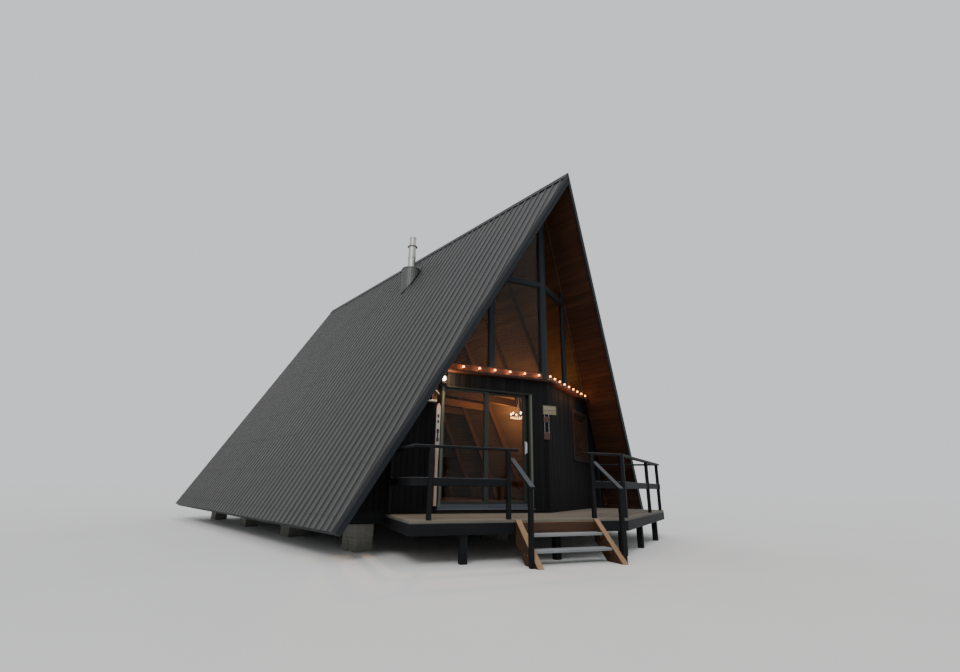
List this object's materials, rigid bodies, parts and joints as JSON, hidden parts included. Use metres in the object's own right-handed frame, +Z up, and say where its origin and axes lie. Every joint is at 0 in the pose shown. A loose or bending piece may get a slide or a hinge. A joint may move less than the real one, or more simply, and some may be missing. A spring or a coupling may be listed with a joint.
{
  "type": "a-frame cabin",
  "caption": "A-frame cabin with a steep ribbed metal roof, a prow front with a glazed gable, a sliding door, a railed deck with a stair, and a stove flue.",
  "frame": {"origin": "on the ground under the middle of the whole object's box, in the plane of the ridge", "axes": "+Z up, +Y along the ridge from the front to the back, +X to the right seen from the front"},
  "size_m": [7.906, 12.5602, 7.69],
  "materials": {
    "pier_blocks": "rough, mossy",
    "floor_wood": "oiled",
    "roof_boards": "stained",
    "roof_metal": "satin, weathered",
    "trim_paint": "painted",
    "frame_timber": "oiled",
    "siding": "stained nearly black",
    "ledge_wood": "stained",
    "sill_wood": "stained",
    "glass": "clear, reflecting",
    "door_metal": "satin, dark bronze",
    "steel": "satin",
    "window_wood": "stained",
    "curtained_glass": "glass over a tan curtain",
    "deck_wood": "weathered",
    "dark_wood": "stained dark, worn tops",
    "cedar": "new",
    "tread_wood": "weathered",
    "galvanised": "dull",
    "flashing_metal": "satin",
    "lamp_glass": "frosted, lit",
    "sign_wood": "painted, worn",
    "birdhouse_wood": "painted, worn",
    "bulb_glass": "clear, lit",
    "ski_laminate": "gloss, scratched"
  },
  "bodies": {
    "cabin": {"piers": "pier_blocks", "floor": "floor_wood", "roof_deck_left": "roof_boards", "roof_deck_right": "roof_boards", "roof_metal_left": "roof_metal", "roof_metal_right": "roof_metal", "ridge_cap": "roof_metal", "front_rake_left": "trim_paint", "front_rake_right": "trim_paint", "back_rake_left": "trim_paint", "back_rake_right": "trim_paint", "eave_boards": "trim_paint", "ridge_beam": "frame_timber", "rafters": "frame_timber", "collar_ties": "frame_timber", "front_wall_left": "siding", "front_wall_over_door": "siding", "front_wall_corner": "siding", "front_wall_right": "siding", "centre_post": "trim_paint", "ledge": "ledge_wood", "gable_sills": "sill_wood", "gable_bars": "trim_paint", "gable_glass": "glass", "door_frame": "door_metal", "door_fixed_panel": "door_metal", "door_fixed_glass": "glass", "window_frames": "window_wood", "window_panes": "curtained_glass", "back_wall": "siding", "deck_boards_left": "deck_wood", "deck_boards_right": "deck_wood", "deck_rim": "dark_wood", "deck_joists": "dark_wood", "deck_posts": "dark_wood", "rail_left": "dark_wood", "rail_right": "dark_wood", "side_rails": "dark_wood", "stair_stringers": "cedar", "stair_treads": "tread_wood", "stair_riser": "cedar", "handrails": "dark_wood", "flue_pipe": "galvanised", "flue_cap": "galvanised", "flue_flashing": "flashing_metal", "wall_lamp": "lamp_glass", "house_sign": "sign_wood", "birdhouse": "birdhouse_wood", "light_string": "bulb_glass", "skis": "ski_laminate", "chandelier": "lamp_glass"},
    "sliding_panel": {"door_slider": "door_metal", "door_slider_glass": "glass", "door_handle": "steel"}
  },
  "joints": [
    {"name": "door_slide", "type": "slide", "parent": "cabin", "child": "sliding_panel", "axis": [-0.9461, 0.3239, 0], "range_m": [0, 0.73]}
  ]
}
